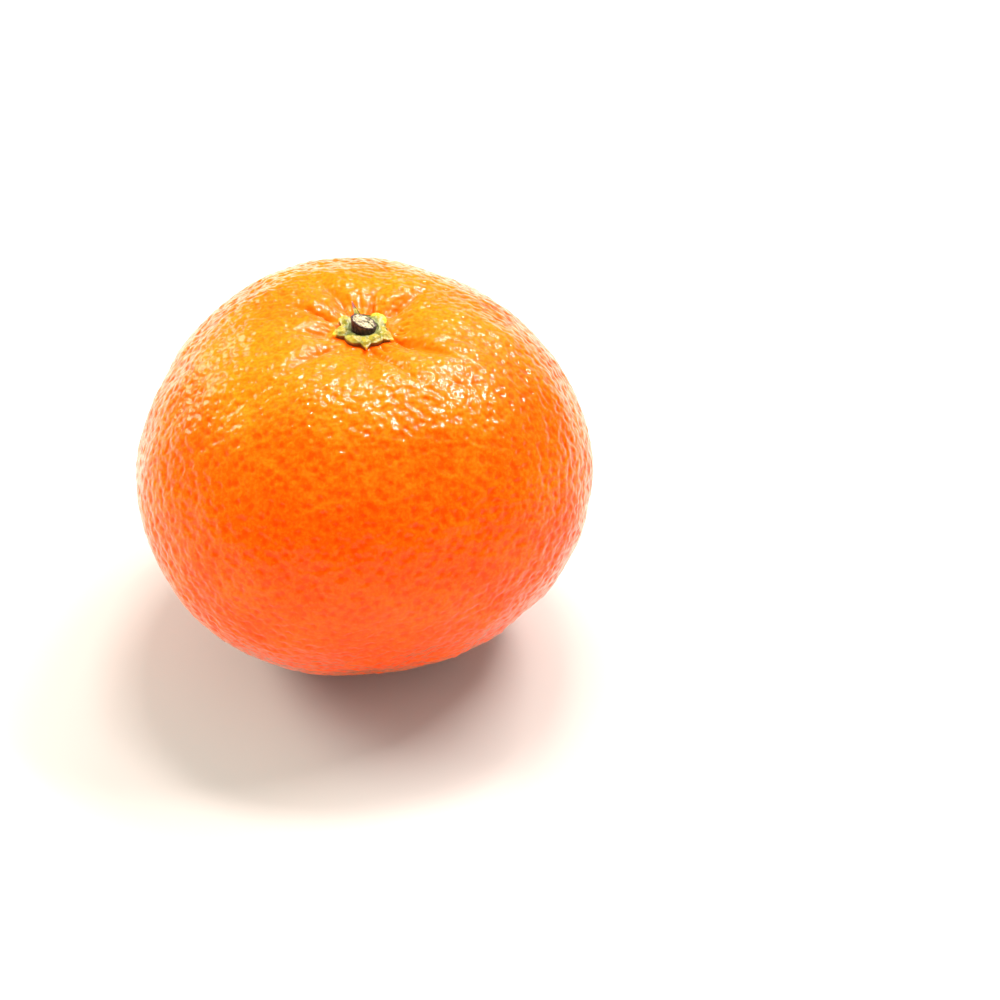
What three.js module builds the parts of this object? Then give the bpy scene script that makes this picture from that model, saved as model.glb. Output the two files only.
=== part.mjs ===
// A whole mandarin as picked: the fruit, the green calyx seated in the dip at its stem end, and the dry
// stub of its cut stalk. Millimetres, +Z up. The fruit stands on its flattened blossom end. The origin
// is on the table, under the middle of the fruit's outline.
import * as THREE from "three";
import { mergeVertices } from "three/addons/utils/BufferGeometryUtils.js";

const { degToRad, euclideanModulo, smoothstep } = THREE.MathUtils;
const HALF_TURN = Math.PI;

// ---- Driving dimensions ----

const FRUIT = {
  radius: 34, // mean radius at the equator
  stemHalf: 27.1, // equator up to the stem end, before its dip
  blossomHalf: 29.8, // equator down to the blossom end, before it is flattened
  flattened: 0.4, // what the resting spot takes off the blossom end
};

// Superellipse exponents of the two halves of the meridian. 2 is an ellipse, and more is squarer.
const STEM_HALF_FORM = { across: 2.6, up: 1.86 };
const BLOSSOM_HALF_FORM = { across: 2.2, up: 1.9 };

// The fruit is a little three-sided seen from above: the share of the radius, and where one side bulges.
const THREE_SIDED = { share: 0.035, facing: degToRad(-15) };

// Broad swells of the rind: height, waves round the fruit, waves from pole to pole, and their phases.
const SWELLS = [
  { height: 0.22, round: 2, polar: 2, turn: 1.1, shift: 0.4 },
  { height: 0.16, round: 5, polar: 3, turn: 0.6, shift: 1.3 },
  { height: 0.1, round: 9, polar: 2, turn: 2.2, shift: 0.2 },
];

// The stem end grew a little to one side of the blossom end.
const STEM_LEAN = { x: 0.55, y: 0.05 };

// The dip at the stem end is a steep pit round the calyx inside a wide shallow hollow.
const CALYX_SEAT_RADIUS = 3; // flat floor that the calyx stands on
const STEM_DIPS = [
  { depth: 1.2, reach: 4.6 },
  { depth: 1.4, reach: 10 },
];

// Creases that run out from the calyx and leave rounded lobes between them. Azimuths are in degrees,
// from and to are distances from the axis, and bend is how far the outer end turns, in degrees.
const FURROWS = [
  { azimuth: 44, from: 4, to: 18, depth: 0.95, halfWidth: 1.4, bend: 5 },
  { azimuth: 77, from: 3.8, to: 9.5, depth: 0.6, halfWidth: 0.9, bend: 4 },
  { azimuth: 114, from: 4, to: 15, depth: 0.9, halfWidth: 1.2, bend: 7 },
  { azimuth: 148, from: 4.4, to: 16, depth: 1.1, halfWidth: 1.5, bend: 6 },
  { azimuth: 192, from: 4.2, to: 12, depth: 0.55, halfWidth: 1.1, bend: -6 },
  { azimuth: 223, from: 3.9, to: 19, depth: 0.9, halfWidth: 1.3, bend: 0 },
  { azimuth: 275, from: 3.9, to: 17, depth: 0.75, halfWidth: 1.2, bend: 0 },
  { azimuth: 292, from: 4.2, to: 19, depth: 1, halfWidth: 1.4, bend: 14 },
  { azimuth: 331, from: 4.6, to: 16, depth: 1.1, halfWidth: 1.4, bend: 2 },
];

const SCAR = { radius: 2.2, depth: 0.8 }; // the small pit where the flower dropped off

// Heights above the calyx seat. The collar is the ring that grips the stalk.
const CALYX = {
  footRadius: 2.5,
  stalkSeatRadius: 2.1,
  stalkSeatHeight: 0.6,
  collarRadius: 2.3,
  collarHeight: 0.9,
  shoulderRadius: 3.1,
  shoulderHeight: 0.9,
  rootThickness: 0.7, // at the edge of the ring between two sepals
  tipThickness: 0.35, // at a long sepal's point
  ribHeight: 0.3, // how far a sepal swells up along its middle
  clearance: 0.2, // gap between a sepal and the rind under it
};

// Sepals: azimuth and half angle at the root in degrees, reach from the axis, and rise of the tip. A
// roundness of 1 gives a pointed sepal and 2 a rounded lobe, and slimness draws its sides in.
const SEPALS = [
  { azimuth: -31, reach: 5.1, halfAngle: 38, rise: 0, roundness: 1, slimness: 1.7 },
  { azimuth: -58, reach: 4.1, halfAngle: 28, rise: 0, roundness: 2, slimness: 0.8 },
  { azimuth: -85, reach: 4.8, halfAngle: 27, rise: 0, roundness: 1, slimness: 1.6 },
  { azimuth: -118, reach: 4, halfAngle: 30, rise: 0, roundness: 2, slimness: 0.8 },
  { azimuth: -164, reach: 4.8, halfAngle: 36, rise: 0, roundness: 1, slimness: 1.7 },
  { azimuth: 148, reach: 4.1, halfAngle: 22, rise: 0.35, roundness: 2, slimness: 0.8 },
  { azimuth: 107, reach: 6.1, halfAngle: 10, rise: 1, roundness: 1, slimness: 1.6 },
  { azimuth: 44, reach: 3.9, halfAngle: 30, rise: 0.35, roundness: 2, slimness: 0.7 },
];

const STALK = {
  radius: 1.85,
  flare: 0.1, // how much wider it is at the cut
  height: 1.3, // above its seat, at the middle of the cut
  cutSlope: 0.42, // fall of the cut across the stalk
  cutFacing: degToRad(12), // the side that the cut falls towards
};

// ---- Shapes shared by the pieces ----

/** The angle between two azimuths, from 0 to half a turn. */
function angleBetween(a, b) {
  return Math.abs(euclideanModulo(a - b + HALF_TURN, 2 * HALF_TURN) - HALF_TURN);
}

/** A closed skin round the Z axis: pointAt(row, azimuth) gives each point, and both end rows are poles. */
function closedSkin(columns, rowCount, pointAt) {
  const skin = new THREE.SphereGeometry(1, columns, rowCount - 1);
  const uv = skin.getAttribute("uv");
  const position = skin.getAttribute("position");
  for (let i = 0; i < position.count; i += 1) {
    const row = Math.round((1 - uv.getY(i)) * (rowCount - 1));
    const azimuth = uv.getX(i) * 2 * HALF_TURN;
    const [x, y, z] = pointAt(row, azimuth);
    position.setXYZ(i, x, y, z);
  }
  skin.deleteAttribute("uv");
  skin.deleteAttribute("normal");
  const merged = mergeVertices(skin, 1e-4);
  merged.computeVertexNormals();
  return merged;
}

/** Polar coordinates round the axis, and a height, as a point. */
function cylindrical(radius, azimuth, height) {
  return [radius * Math.cos(azimuth), radius * Math.sin(azimuth), height];
}

// ---- The fruit ----

const EQUATOR_HEIGHT = FRUIT.blossomHalf - FRUIT.flattened;

/** How much wider or narrower the three-sided outline is at an azimuth. */
function outlineShare(azimuth) {
  return 1 + THREE_SIDED.share * Math.cos(3 * (azimuth - THREE_SIDED.facing));
}

/** The polar angle at which the bare meridian is this far from the axis, on the stem or blossom half. */
function polarAngle(radius, form) {
  return Math.asin(Math.min(1, radius / FRUIT.radius) ** (form.across / 2));
}

/** The hollow at the stem end, a distance from the axis. */
function stemDip(radius) {
  const out = Math.max(0, radius - CALYX_SEAT_RADIUS);
  return STEM_DIPS.reduce((sum, dip) => sum + dip.depth * Math.exp(-((out / dip.reach) ** 2)), 0);
}

/** How deep the creases are at a place: each is a soft groove along a gently bent line. */
function furrowDepth(radius, azimuth) {
  return FURROWS.reduce((sum, furrow) => {
    const along = (radius - furrow.from) / (furrow.to - furrow.from);
    if (along <= 0 || along >= 1) return sum;
    const line = degToRad(furrow.azimuth + furrow.bend * along);
    const aside = radius * Math.sin(Math.min(HALF_TURN / 2, angleBetween(azimuth, line)));
    const ends = smoothstep(along, 0, 0.25) * (1 - smoothstep(along, 0.3, 1));
    return sum + furrow.depth * ends * Math.exp(-((aside / furrow.halfWidth) ** 2));
  }, 0);
}

/** The broad unevenness of the rind, fading to nothing at both poles. */
function swell(polar, azimuth) {
  const fade = smoothstep(Math.sin(polar), 0.25, 0.8);
  const wave = SWELLS.reduce(
    (sum, s) => sum + s.height * Math.sin(s.round * azimuth + s.turn) * Math.sin(s.polar * polar + s.shift),
    0,
  );
  return fade * wave;
}

/** A point of the rind at a polar angle, 0 at the stem and half a turn at the blossom end. */
function rindPoint(polar, azimuth) {
  const stemSide = polar < HALF_TURN / 2;
  const form = stemSide ? STEM_HALF_FORM : BLOSSOM_HALF_FORM;
  const bare = FRUIT.radius * Math.sin(polar) ** (2 / form.across);
  const lift = Math.abs(Math.cos(polar)) ** (2 / form.up);
  const radius = bare * outlineShare(azimuth) + swell(polar, azimuth);
  if (stemSide) {
    const relief = bare > CALYX_SEAT_RADIUS ? furrowDepth(bare, azimuth) : 0;
    const height = EQUATOR_HEIGHT + FRUIT.stemHalf * lift - stemDip(bare) - relief;
    const [x, y] = cylindrical(radius, azimuth, height);
    return [x + STEM_LEAN.x * Math.cos(polar), y + STEM_LEAN.y * Math.cos(polar), height];
  }
  const scarDepth = SCAR.depth * (1 - smoothstep(bare, 0, SCAR.radius));
  return cylindrical(radius, azimuth, Math.max(0, EQUATOR_HEIGHT - FRUIT.blossomHalf * lift) + scarDepth);
}

/** The height of the calyx seat above the table: the floor of the dip, just inside its rim. */
function seatHeight() {
  const lift = Math.cos(polarAngle(CALYX_SEAT_RADIUS, STEM_HALF_FORM)) ** (2 / STEM_HALF_FORM.up);
  return EQUATOR_HEIGHT + FRUIT.stemHalf * lift - stemDip(CALYX_SEAT_RADIUS);
}

/** The polar angles of the rows, close together where the stem end has its creases. */
function fruitRows() {
  const creaseStep = 1.1;
  const creaseEnd = 18;
  const bodyRows = 26;
  const rows = [0, polarAngle(CALYX_SEAT_RADIUS, STEM_HALF_FORM)];
  for (let radius = CALYX_SEAT_RADIUS + 0.6; radius < creaseEnd; radius += creaseStep) {
    rows.push(polarAngle(radius, STEM_HALF_FORM));
  }
  const standing = EQUATOR_HEIGHT / FRUIT.blossomHalf;
  const restingRim = HALF_TURN - Math.acos(standing ** (BLOSSOM_HALF_FORM.up / 2));
  const last = rows.at(-1);
  for (let i = 1; i <= bodyRows; i += 1) {
    rows.push(THREE.MathUtils.lerp(last, restingRim, i / bodyRows));
  }
  for (const share of [1, 0.5]) {
    rows.push(HALF_TURN - polarAngle(SCAR.radius * share, BLOSSOM_HALF_FORM));
  }
  return [...rows, HALF_TURN];
}

function fruitGeometry() {
  const columns = 108;
  const rows = fruitRows();
  return closedSkin(columns, rows.length, (row, azimuth) => {
    const pole = row === 0 || row === rows.length - 1;
    if (!pole) return rindPoint(rows[row], azimuth);
    return row === 0 ? [STEM_LEAN.x, STEM_LEAN.y, seatHeight()] : [0, 0, SCAR.depth];
  });
}

// ---- The calyx ----

/** 1 along the middle of a sepal, falling to 0 at its sides: evenly on a pointed one. */
function sepalCloseness(sepal, azimuth) {
  const beside = angleBetween(azimuth, degToRad(sepal.azimuth)) / degToRad(sepal.halfAngle);
  return 1 - Math.min(1, beside) ** sepal.roundness;
}

/** How far the calyx reaches at an azimuth: the shoulder, or the sepal that grows there. */
function calyxReach(azimuth) {
  return SEPALS.reduce((reach, sepal) => {
    const blade = (sepal.reach - CALYX.shoulderRadius) * sepalCloseness(sepal, azimuth) ** sepal.slimness;
    return Math.max(reach, CALYX.shoulderRadius + blade);
  }, CALYX.shoulderRadius + 0.1);
}

/** How much the sepals curl up at an azimuth, at their tips. */
function calyxRise(azimuth) {
  return SEPALS.reduce((rise, sepal) => Math.max(rise, sepal.rise * sepalCloseness(sepal, azimuth)), 0);
}

/** How far the nearest sepal swells up at an azimuth, along its middle. */
function calyxRib(azimuth) {
  return CALYX.ribHeight * Math.max(...SEPALS.map((sepal) => sepalCloseness(sepal, azimuth))) ** 2;
}

/** The underside of a sepal: a clearance above the rind, and raised where the sepal curls up. */
function sepalUnderside(radius, azimuth) {
  const [, , rind] = rindPoint(polarAngle(radius, STEM_HALF_FORM), azimuth);
  const out = (radius - CALYX.shoulderRadius) / (calyxReach(azimuth) - CALYX.shoulderRadius);
  return Math.max(rind, seatHeight()) + CALYX.clearance + calyxRise(azimuth) * Math.max(0, out) ** 2;
}

/** How thick the calyx is at a distance from the axis: full at the ring, thin at a long point. */
function calyxThickness(radius) {
  const longest = 5;
  const share = smoothstep(radius, CALYX.shoulderRadius, longest);
  return THREE.MathUtils.lerp(CALYX.rootThickness, CALYX.tipThickness, share);
}

/** The rows of the calyx, from the stalk's seat over the collar, out to the edge and back underneath. */
function calyxPoint(row, azimuth) {
  const base = seatHeight();
  const reach = calyxReach(azimuth);
  const between = (share) => THREE.MathUtils.lerp(CALYX.shoulderRadius, reach, share);
  const top = (share) => {
    const radius = between(share);
    const edge = sepalUnderside(radius, azimuth) + calyxThickness(radius);
    const root = base + CALYX.shoulderHeight;
    const blade = Math.max(edge, THREE.MathUtils.lerp(root, edge, smoothstep(share, 0, 0.8)));
    return [radius, blade + calyxRib(azimuth) * (1 - share ** 2)];
  };
  const under = (share) => [between(share), sepalUnderside(between(share), azimuth)];
  const profile = [
    [0, base + CALYX.stalkSeatHeight],
    [CALYX.stalkSeatRadius, base + CALYX.stalkSeatHeight],
    [CALYX.collarRadius, base + CALYX.collarHeight],
    top(0),
    top(0.35),
    top(0.7),
    top(1),
    under(1),
    under(0.5),
    under(0),
    [CALYX.footRadius, base],
    [0, base],
  ];
  const [radius, height] = profile[row];
  return cylindrical(radius, azimuth, height);
}

function calyxGeometry() {
  const columns = 120;
  const rowCount = 12;
  return closedSkin(columns, rowCount, calyxPoint);
}

// ---- The stalk ----

/** The stub of the stalk: a short cylinder that flares to a slanting cut, standing on the calyx. */
function stalkGeometry() {
  const sides = 28;
  const stalk = new THREE.CylinderGeometry(STALK.radius + STALK.flare, STALK.radius, STALK.height, sides, 3);
  stalk.rotateX(HALF_TURN / 2);
  stalk.translate(0, 0, STALK.height / 2);
  const position = stalk.getAttribute("position");
  for (let i = 0; i < position.count; i += 1) {
    const [x, y, z] = [position.getX(i), position.getY(i), position.getZ(i)];
    const towardsCut = x * Math.cos(STALK.cutFacing) + y * Math.sin(STALK.cutFacing);
    position.setZ(i, z - (z / STALK.height) * STALK.cutSlope * towardsCut);
  }
  stalk.translate(0, 0, seatHeight() + CALYX.stalkSeatHeight);
  return stalk;
}

// ---- The mandarin ----

function piece(name, geometry, material) {
  const mesh = new THREE.Mesh(geometry, new THREE.MeshStandardMaterial({ metalness: 0, ...material }));
  mesh.name = name;
  return mesh;
}

const fruit = piece("fruit", fruitGeometry(), { color: "#f77f14", roughness: 0.35 });
const calyx = piece("calyx", calyxGeometry(), { color: "#a3a13c", roughness: 0.55 });
const stalk = piece("stalk", stalkGeometry(), { color: "#5b4530", roughness: 0.8 });

const mandarin = new THREE.Group();
for (const onStemEnd of [calyx, stalk]) onStemEnd.position.set(STEM_LEAN.x, STEM_LEAN.y, 0);
mandarin.add(fruit, calyx, stalk);
const middle = new THREE.Box3().setFromObject(fruit).getCenter(new THREE.Vector3());
mandarin.position.set(-middle.x, -middle.y, 0);

export default mandarin;
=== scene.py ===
"""A whole mandarin on a pale table: its glossy rind, its green calyx and the dry stub of its stalk.

Each of the three solids of the frame gets a finer surface in its place, worked out with numpy from the
driving sizes of the part. Lengths are in millimetres up to the moment a mesh is made.
"""

import logging
import math
from abc import ABC, abstractmethod
from dataclasses import dataclass, field
from enum import Enum
from typing import ClassVar

import bpy
import numpy as np
from mathutils import Matrix, Vector


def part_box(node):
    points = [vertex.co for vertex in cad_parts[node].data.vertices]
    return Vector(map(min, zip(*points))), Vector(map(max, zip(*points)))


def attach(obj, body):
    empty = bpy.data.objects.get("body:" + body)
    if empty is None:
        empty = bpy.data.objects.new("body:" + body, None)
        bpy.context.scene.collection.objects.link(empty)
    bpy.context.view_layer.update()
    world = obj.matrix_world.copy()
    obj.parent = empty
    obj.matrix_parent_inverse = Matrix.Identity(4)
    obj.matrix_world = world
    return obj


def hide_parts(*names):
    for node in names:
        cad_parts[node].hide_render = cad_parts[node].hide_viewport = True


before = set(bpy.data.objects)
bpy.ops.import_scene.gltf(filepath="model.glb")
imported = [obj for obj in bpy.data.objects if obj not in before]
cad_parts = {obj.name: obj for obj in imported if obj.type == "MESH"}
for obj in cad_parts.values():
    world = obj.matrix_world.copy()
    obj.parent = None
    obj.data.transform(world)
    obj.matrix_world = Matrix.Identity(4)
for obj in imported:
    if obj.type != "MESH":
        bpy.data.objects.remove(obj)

MM = 0.001
TURN = 2 * math.pi
MERIDIAN_POINTS = 8001
MERGE_DIGITS = 7
Array = np.ndarray
Bounds = tuple[float, float]
Colour = tuple[float, float, float]
Socket = bpy.types.NodeSocket
Value = Socket | float | Colour
log = logging.getLogger("mandarin")


class Slot(Enum):
    """The material slots of the pieces."""

    RIND = "rind"
    CALYX = "calyx"
    STALK = "stalk"


# ---- Mathematics shared by the pieces ----


def smoothstep(values: Array, low: float, high: float) -> Array:
    """A soft step: 0 below low, 1 above high, and 3t² - 2t³ between them.

    Args:
        values: The numbers to judge.
        low: Where the step starts.
        high: Where the step ends.

    Returns:
        The step's height at each value.
    """
    t = np.clip((values - low) / (high - low), 0.0, 1.0)
    return t * t * (3.0 - 2.0 * t)


def turn_between(a: Array, b: Array) -> Array:
    """The signed angle from azimuth b to azimuth a, between minus and plus half a turn."""
    return (a - b + math.pi) % TURN - math.pi


def ripple(points: Array, wavelength: float, waves: int, seed: int) -> Array:
    """Even random relief: the mean of plane sine waves with random directions and phases.

    Args:
        points: Places, one to a row.
        wavelength: The length of every wave, in the units of the points.
        waves: How many waves are added.
        seed: Seeds the directions and phases.

    Returns:
        One number for each point, with a spread of about 1.
    """
    rng = np.random.default_rng(seed)
    ways = rng.normal(size=(waves, 3))
    ways /= np.linalg.norm(ways, axis=1, keepdims=True)
    phases = rng.uniform(0, TURN, waves)
    return np.sin(points @ ways.T * (TURN / wavelength) + phases).sum(axis=1) * math.sqrt(2 / waves)


def nearest(points: Array, targets: Array, chunk: int = 1500) -> tuple[Array, Array]:
    """The nearest target of each point, from the expanded square |p|² - 2 p·t + |t|².

    Args:
        points: Places, one to a row.
        targets: Places that are looked for, one to a row.
        chunk: How many points are compared at a time.

    Returns:
        The index of each point's nearest target, and its distance.
    """
    index = np.empty(len(points), np.int64)
    squares = (targets**2).sum(axis=1)
    for first in range(0, len(points), chunk):
        part = points[first : first + chunk]
        index[first : first + chunk] = (squares - 2.0 * part @ targets.T).argmin(axis=1)
    return index, np.linalg.norm(points - targets[index], axis=1)


def point_normals(points: Array, triangles: Array) -> Array:
    """The normal at each point: the sum of its triangles' area vectors, made one long.

    Args:
        points: Places, one to a row.
        triangles: Rows of three point numbers.

    Returns:
        Unit normals, one to a row.
    """
    a, b, c = (points[triangles[:, k]] for k in range(3))
    total = np.zeros_like(points)
    for axis, area in enumerate(np.cross(b - a, c - a).T):
        total[:, axis] = sum(np.bincount(triangles[:, k], area, len(points)) for k in range(3))
    return total / np.linalg.norm(total, axis=1, keepdims=True)


@dataclass
class Skin:
    """A closed surface as arrays: points in millimetres, faces, and values at the points for its finish."""

    points: Array
    triangles: Array
    quads: Array = field(default_factory=lambda: np.empty((0, 4), np.int64))
    masks: dict[str, Array] = field(default_factory=dict)

    def to_object(self, name: str, finish: bpy.types.Material) -> bpy.types.Object:
        """Makes the surface a smooth Blender object at the origin, in metres.

        Args:
            name: The name of the object and of its mesh.
            finish: The material that it is dressed in.

        Returns:
            The linked object, with each mask as a float attribute on its points.
        """
        mesh = bpy.data.meshes.new(name)
        faces = [*self.triangles.tolist(), *self.quads.tolist()]
        mesh.from_pydata((self.points * MM).tolist(), [], faces)
        for mask, values in self.masks.items():
            attribute = mesh.attributes.new(mask, "FLOAT", "POINT")
            attribute.data.foreach_set("value", values.astype(np.float32))
        mesh.polygons.foreach_set("use_smooth", np.ones(len(mesh.polygons), bool))
        mesh.materials.append(finish)
        mesh.update()
        piece = bpy.data.objects.new(name, mesh)
        bpy.context.scene.collection.objects.link(piece)
        return piece


@dataclass
class RingStack:
    """Rings round the vertical that make a closed skin, laid from its top to its bottom."""

    around: int
    rings: list[Array] = field(default_factory=list)
    masks: dict[str, list[Array]] = field(default_factory=dict)

    @property
    def azimuth(self) -> Array:
        """The azimuths of the points of every ring."""
        return np.arange(self.around) * TURN / self.around

    def lay(self, radius: Array, height: Array | float, **masks: Array | float) -> None:
        """Adds a ring under the last one.

        Args:
            radius: Its distances from the vertical.
            height: Its heights.
            masks: Its values of each mask.
        """
        x, y = radius * np.cos(self.azimuth), radius * np.sin(self.azimuth)
        self.rings.append(np.stack([x, y, np.broadcast_to(height, x.shape)], axis=1))
        for name, values in masks.items():
            self.masks.setdefault(name, []).append(np.broadcast_to(values, x.shape))

    def points(self) -> Array:
        """The points by ring, then by azimuth, then by axis."""
        return np.array(self.rings)

    def mask(self, name: str) -> Array:
        """The values of one mask, by ring and azimuth."""
        return np.array(self.masks[name])

    def close(self, lift: Array, axis: Array) -> Skin:
        """Raises the points, and fans the first and the last ring in to their middles.

        Args:
            lift: How far each point goes up, by ring and azimuth.
            axis: The place that the rings are measured from.

        Returns:
            The closed skin, facing out. A ring's middle takes the mean of its masks.
        """
        rings = self.points()
        rings[..., 2] += lift
        index = np.arange(rings[..., 2].size).reshape(len(rings), self.around)
        right = np.roll(index, -1, axis=1)
        quads = np.stack([index[:-1], index[1:], right[1:], right[:-1]], axis=-1).reshape(-1, 4)
        top, bottom = np.full(self.around, index.size), np.full(self.around, index.size + 1)
        upper = np.stack([top, index[0], right[0]], axis=-1)
        lower = np.stack([bottom, right[-1], index[-1]], axis=-1)
        points = np.concatenate([rings.reshape(-1, 3), rings[[0, -1]].mean(axis=1)]) + axis
        masks = {}
        for name in self.masks:
            values = self.mask(name)
            masks[name] = np.append(values.ravel(), values[[0, -1]].mean(axis=1))
        return Skin(points, np.concatenate([upper, lower]), quads, masks)


# ---- Materials ----


class Board:
    """The node board of one material, with a Principled surface to wire up."""

    def __init__(self, name: str) -> None:
        """Starts a material with an output, a Principled surface and Object coordinates.

        Args:
            name: The material's name.
        """
        self.material = bpy.data.materials.new(name)
        self.material.use_nodes = True
        self.tree = self.material.node_tree
        self.tree.nodes.clear()
        self.surface = self.tree.nodes.new("ShaderNodeBsdfPrincipled")
        output = self.tree.nodes.new("ShaderNodeOutputMaterial")
        self.tree.links.new(self.surface.outputs["BSDF"], output.inputs["Surface"])
        coordinates = self.tree.nodes.new("ShaderNodeTexCoord")
        self.place = coordinates.outputs["Object"]

    def feed(self, socket: Socket, value: Value) -> None:
        """Links a value into a socket, or sets it there where it is plain.

        Args:
            socket: The socket to feed.
            value: Another node's output, a number or a colour.
        """
        if isinstance(value, Socket):
            self.tree.links.new(value, socket)
        elif isinstance(value, tuple) and len(socket.default_value) == 4:
            socket.default_value = (*value, 1.0)
        else:
            socket.default_value = value

    def mask(self, name: str) -> Socket:
        """The value of one of the surface's masks.

        Args:
            name: The mask.

        Returns:
            The value's socket.
        """
        node = self.tree.nodes.new("ShaderNodeAttribute")
        node.attribute_name = name
        return node.outputs["Fac"]

    def height(self) -> Socket:
        """The height above the table, in metres."""
        node = self.tree.nodes.new("ShaderNodeSeparateXYZ")
        self.feed(node.inputs[0], self.place)
        return node.outputs["Z"]

    def noise(self, size: float, detail: float = 2.0) -> Socket:
        """Cloudy noise on Object coordinates.

        Args:
            size: The size of its largest blobs, in millimetres.
            detail: How many finer octaves it has, each half as strong as the one before.

        Returns:
            The noise, mostly between 0.3 and 0.7.
        """
        node = self.tree.nodes.new("ShaderNodeTexNoise")
        self.feed(node.inputs["Vector"], self.place)
        node.inputs["Scale"].default_value = 1.0 / (size * MM)
        node.inputs["Detail"].default_value = detail
        return node.outputs["Fac"]

    def cells(self, size: float) -> Socket:
        """Rounded cells on Object coordinates: the distance from the nearest of a scatter of points.

        Args:
            size: The mean distance between the points, in millimetres.

        Returns:
            The distance, from 0 at a point to about 0.7 between points.
        """
        node = self.tree.nodes.new("ShaderNodeTexVoronoi")
        node.feature = "SMOOTH_F1"
        self.feed(node.inputs["Vector"], self.place)
        node.inputs["Scale"].default_value = 1.0 / (size * MM)
        return node.outputs["Distance"]

    def math(self, operation: str, *values: Value) -> Socket:
        """The result of a sum on numbers.

        Args:
            operation: The sum's name.
            values: What it works on, in order.

        Returns:
            The result's socket.
        """
        node = self.tree.nodes.new("ShaderNodeMath")
        node.operation = operation
        for socket, value in zip(node.inputs, values):
            self.feed(socket, value)
        return node.outputs[0]

    def spread(self, value: Value, low: float, high: float, start: float = 0.0, end: float = 1.0) -> Socket:
        """Maps a value from low..high to start..end, with soft ends.

        Args:
            value: The value to map.
            low: The value that gives start.
            high: The value that gives end.
            start: The result at low.
            end: The result at high.

        Returns:
            The mapped value's socket.
        """
        node = self.tree.nodes.new("ShaderNodeMapRange")
        node.interpolation_type = "SMOOTHSTEP"
        for socket, number in zip(node.inputs, (value, low, high, start, end)):
            self.feed(socket, number)
        return node.outputs[0]

    def blend(self, share: Value, first: Value, second: Value) -> Socket:
        """A colour between two.

        Args:
            share: How much of the second colour there is, from 0 to 1.
            first: The colour at 0.
            second: The colour at 1.

        Returns:
            The colour's socket.
        """
        node = self.tree.nodes.new("ShaderNodeMix")
        node.data_type = "RGBA"
        for socket, value in zip((node.inputs[0], node.inputs[6], node.inputs[7]), (share, first, second)):
            self.feed(socket, value)
        return node.outputs[2]

    def bump(self, height: Value, depth: float) -> Socket:
        """A normal from a height map.

        Args:
            height: The height, from 0 to 1.
            depth: The real height of 1, in millimetres.

        Returns:
            The bumped normal.
        """
        node = self.tree.nodes.new("ShaderNodeBump")
        node.inputs["Distance"].default_value = depth * MM
        self.feed(node.inputs["Height"], height)
        return node.outputs["Normal"]

    def finish(self, **sockets: Value) -> bpy.types.Material:
        """Feeds the surface's sockets.

        Args:
            sockets: Their values by name, with an underscore for each space.

        Returns:
            The finished material.
        """
        for name, value in sockets.items():
            self.feed(self.surface.inputs[name.replace("_", " ")], value)
        return self.material


class Finish(ABC):
    """What a piece's surface is made of, as colours that its material is wired from."""

    @abstractmethod
    def material(self) -> bpy.types.Material:
        """Wires the material, on Object coordinates and the masks of the piece's skin."""


class Piece(ABC):
    """A piece of the mandarin: a finer skin in the place of one solid of the frame."""

    node: ClassVar[str]
    slot: ClassVar[Slot]
    finish: Finish

    @abstractmethod
    def skin(self) -> Skin:
        """Works out the closed skin of the piece."""

    def build(self) -> bpy.types.Object:
        """Makes the piece, dresses it and ties it to the frame in its solid's place.

        Returns:
            The finished piece.
        """
        piece = self.skin().to_object(f"mandarin_{self.node}", self.finish.material())
        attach(piece, "root")
        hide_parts(self.node)
        return piece


# ---- The fruit ----


@dataclass(frozen=True)
class Crease:
    """A soft groove that runs out from the calyx, with its azimuth and its bend in degrees."""

    trough_share: ClassVar[float] = 0.65
    fold_width: ClassVar[float] = 0.4
    azimuth: float
    start: float
    end: float
    depth: float
    half_width: float
    bend: float

    def profile(self, radius: Array, azimuth: Array) -> Array:
        """How deep the groove is: a fold inside a soft trough along its bent line, faded in and out.

        Across the line, the trough is a wide bell, exp(-(aside / half_width)²), and the fold a narrow one.

        Args:
            radius: Distances from the axis.
            azimuth: Azimuths, in radians.

        Returns:
            Depths, in millimetres.
        """
        along = (radius - self.start) / (self.end - self.start)
        line = np.radians(self.azimuth + self.bend * along)
        turn = np.abs(turn_between(azimuth, line))
        aside = radius * np.sin(np.minimum(math.pi / 2, turn))
        ends = smoothstep(along, 0, 0.25) * (1 - smoothstep(along, 0.3, 1))
        trough = np.exp(-((aside / self.half_width) ** 2))
        fold = np.exp(-((aside / (self.fold_width * self.half_width)) ** 2))
        return self.depth * ends * (self.trough_share * trough + (1 - self.trough_share) * fold)


# The long creases: azimuth, where each starts and ends, its depth, its half width and its bend.
CREASES = (
    Crease(44, 4, 18, 0.95, 1.4, 5),
    Crease(77, 3.8, 9.5, 0.6, 0.9, 4),
    Crease(114, 4, 15, 0.9, 1.2, 7),
    Crease(148, 4.4, 16, 1.1, 1.5, 6),
    Crease(192, 4.2, 12, 0.55, 1.1, -6),
    Crease(223, 3.9, 19, 0.9, 1.3, 0),
    Crease(275, 3.9, 17, 0.75, 1.2, 0),
    Crease(292, 4.2, 19, 1.0, 1.4, 14),
    Crease(331, 4.6, 16, 1.1, 1.4, 2),
)


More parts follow.
